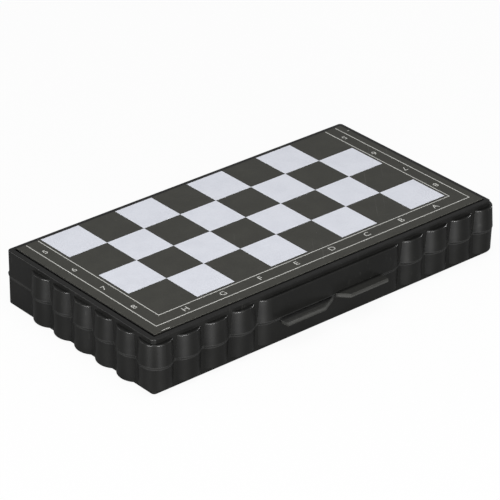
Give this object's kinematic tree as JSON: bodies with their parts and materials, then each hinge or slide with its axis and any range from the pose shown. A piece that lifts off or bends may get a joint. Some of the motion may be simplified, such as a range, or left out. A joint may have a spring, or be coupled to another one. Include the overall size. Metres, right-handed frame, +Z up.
{
  "type": "folding travel chess set",
  "caption": "Folding magnetic travel chess case with scalloped walls, a rear hinge, thumb tabs, a printed board on its outer faces and chessmen held in ribs inside.",
  "frame": {"origin": "centre of the shut case's underside, on the outer face of the lower printed sheet", "axes": "+X along the hinge, towards the A file of the upper board; -Y towards the thumb tabs; +Z up"},
  "size_m": [0.1954, 0.1083, 0.0262],
  "materials": {
    "case_plastic": "satin moulded black",
    "board_print": "printed film, satin",
    "tinned_steel": "tinned sheet",
    "pin_steel": "drawn wire",
    "ferrite": "pressed ferrite",
    "white_men": "moulded ivory white",
    "black_men": "moulded black"
  },
  "bodies": {
    "lower_half": {"hinge_pin_left": "pin_steel", "hinge_pin_right": "pin_steel", "lower_board_sheet": "board_print", "lower_shell": "case_plastic", "lower_steel_plate": "tinned_steel", "white_bishop_1": "white_men", "white_bishop_2": "white_men", "white_king": "white_men", "white_knight_1": "white_men", "white_knight_2": "white_men", "white_magnets": "ferrite", "white_pawn_1": "white_men", "white_pawn_2": "white_men", "white_pawn_3": "white_men", "white_pawn_4": "white_men", "white_pawn_5": "white_men", "white_pawn_6": "white_men", "white_pawn_7": "white_men", "white_pawn_8": "white_men", "white_queen": "white_men", "white_rook_1": "white_men", "white_rook_2": "white_men"},
    "upper_half": {"black_bishop_1": "black_men", "black_bishop_2": "black_men", "black_king": "black_men", "black_knight_1": "black_men", "black_knight_2": "black_men", "black_magnets": "ferrite", "black_pawn_1": "black_men", "black_pawn_2": "black_men", "black_pawn_3": "black_men", "black_pawn_4": "black_men", "black_pawn_5": "black_men", "black_pawn_6": "black_men", "black_pawn_7": "black_men", "black_pawn_8": "black_men", "black_queen": "black_men", "black_rook_1": "black_men", "black_rook_2": "black_men", "upper_board_sheet": "board_print", "upper_shell": "case_plastic", "upper_steel_plate": "tinned_steel"}
  },
  "joints": [
    {"name": "case_fold", "type": "hinge", "parent": "lower_half", "child": "upper_half", "pos_m": [0, 0.04947, 0.01309], "axis": [-1, 0, 0], "range_deg": [0, 180]}
  ]
}
